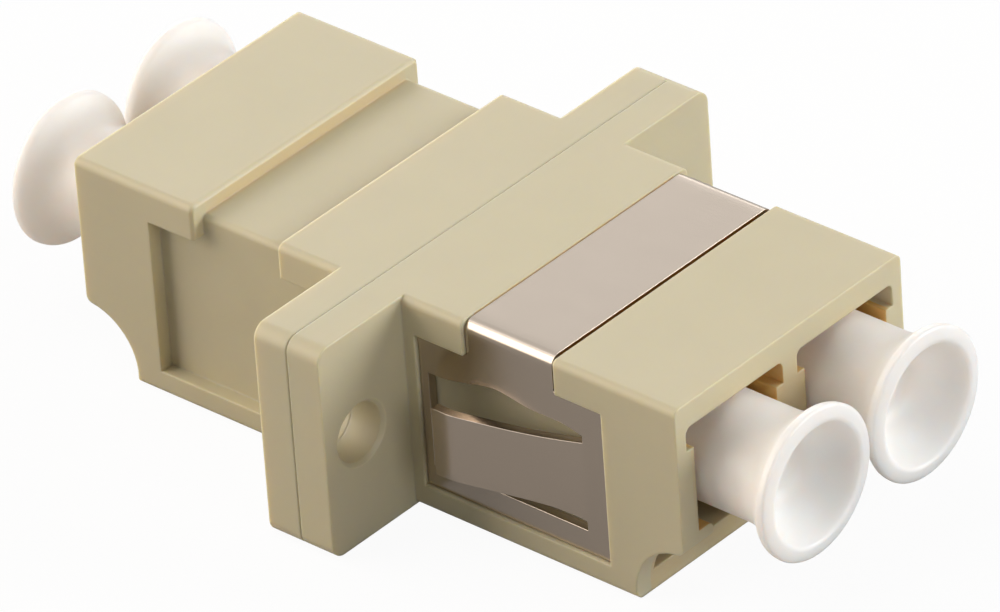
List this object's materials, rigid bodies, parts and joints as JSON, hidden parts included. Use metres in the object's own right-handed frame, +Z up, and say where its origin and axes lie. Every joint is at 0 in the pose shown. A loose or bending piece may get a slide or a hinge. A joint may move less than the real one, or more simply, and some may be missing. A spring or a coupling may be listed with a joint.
{
  "type": "lc fibre adapter",
  "caption": "Through-adapter that joins small fibre plugs end to end, with a screw flange, a sprung panel clip and pull-out dust plugs.",
  "frame": {"origin": "on the bottom face, under the middle of the weld seam between the two halves", "axes": "+X along the ports towards the half that carries the clip, +Y across the two ports, +Z up, away from the latch slots"},
  "size_m": [0.0368, 0.022, 0.0091],
  "materials": {
    "housing_plastic": "moulded beige thermoplastic, fine satin texture",
    "sleeve_ceramic": "ground white ceramic",
    "clip_steel": "bright cold-rolled stainless strip",
    "plug_plastic": "soft translucent white moulding"
  },
  "bodies": {
    "adapter": {"front_housing": "housing_plastic", "rear_housing": "housing_plastic", "left_alignment_sleeve": "sleeve_ceramic", "right_alignment_sleeve": "sleeve_ceramic", "panel_clip": "clip_steel"},
    "front_left_plug": {"front_left_plug": "plug_plastic"},
    "front_right_plug": {"front_right_plug": "plug_plastic"},
    "rear_left_plug": {"rear_left_plug": "plug_plastic"},
    "rear_right_plug": {"rear_right_plug": "plug_plastic"}
  },
  "joints": [
    {"name": "front_left_plug_pull", "type": "slide", "parent": "adapter", "child": "front_left_plug", "axis": [1, 0, 0], "range_m": [0, 0.0145]},
    {"name": "front_right_plug_pull", "type": "slide", "parent": "adapter", "child": "front_right_plug", "axis": [1, 0, 0], "range_m": [0, 0.0145]},
    {"name": "rear_left_plug_pull", "type": "slide", "parent": "adapter", "child": "rear_left_plug", "axis": [-1, 0, 0], "range_m": [0, 0.0145]},
    {"name": "rear_right_plug_pull", "type": "slide", "parent": "adapter", "child": "rear_right_plug", "axis": [-1, 0, 0], "range_m": [0, 0.0145]}
  ]
}
